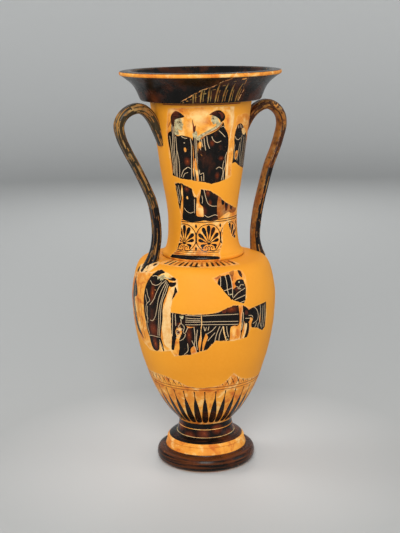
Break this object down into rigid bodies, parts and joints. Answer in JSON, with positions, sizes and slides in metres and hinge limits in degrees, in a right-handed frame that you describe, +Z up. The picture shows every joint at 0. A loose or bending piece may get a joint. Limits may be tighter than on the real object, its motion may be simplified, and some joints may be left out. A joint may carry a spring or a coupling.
{
  "type": "neck amphora",
  "caption": "Tall black-figure neck amphora with flaring mouth, two strap handles, slender ovoid body and moulded foot, restored from fired-clay fragments set in plaster.",
  "frame": {"origin": "centre of the foot's resting face, on the vase's axis", "axes": "+Z up along the vase's axis, handles along X, painted front facing -Y"},
  "size_m": [0.2322, 0.1988, 0.5],
  "materials": {
    "painted_clay": "burnished orange clay with black gloss figures, incised lines and worn patches",
    "toned_plaster": "matt plaster fill toned plain orange",
    "glazed_mouth": "brown-black gloss with a reserved orange lip",
    "glazed_handle": "worn brown-black gloss, inner face reserved orange",
    "glazed_foot": "brown-black gloss mouldings with a reserved orange zone"
  },
  "bodies": {
    "root": {"foot": "glazed_foot", "lower_body": "painted_clay", "shoulder_tongue_sherd": "painted_clay", "mourner_sherd": "painted_clay", "bier_sherd": "painted_clay", "headrest_sherd": "painted_clay", "raised_arm_sherd": "painted_clay", "belly_back_sherd": "painted_clay", "belly_side_sherd": "painted_clay", "belly_fill": "toned_plaster", "neck_upper_sherd": "painted_clay", "neck_right_sherd": "painted_clay", "neck_lower_sherd": "painted_clay", "neck_back_sherd": "painted_clay", "neck_back_lower_sherd": "painted_clay", "neck_fill": "toned_plaster", "mouth_sherd": "glazed_mouth", "mouth": "glazed_mouth", "handle_left_upper": "glazed_handle", "handle_left_lower": "glazed_handle", "handle_right_upper": "glazed_handle", "handle_right_lower": "glazed_handle"}
  },
  "joints": []
}
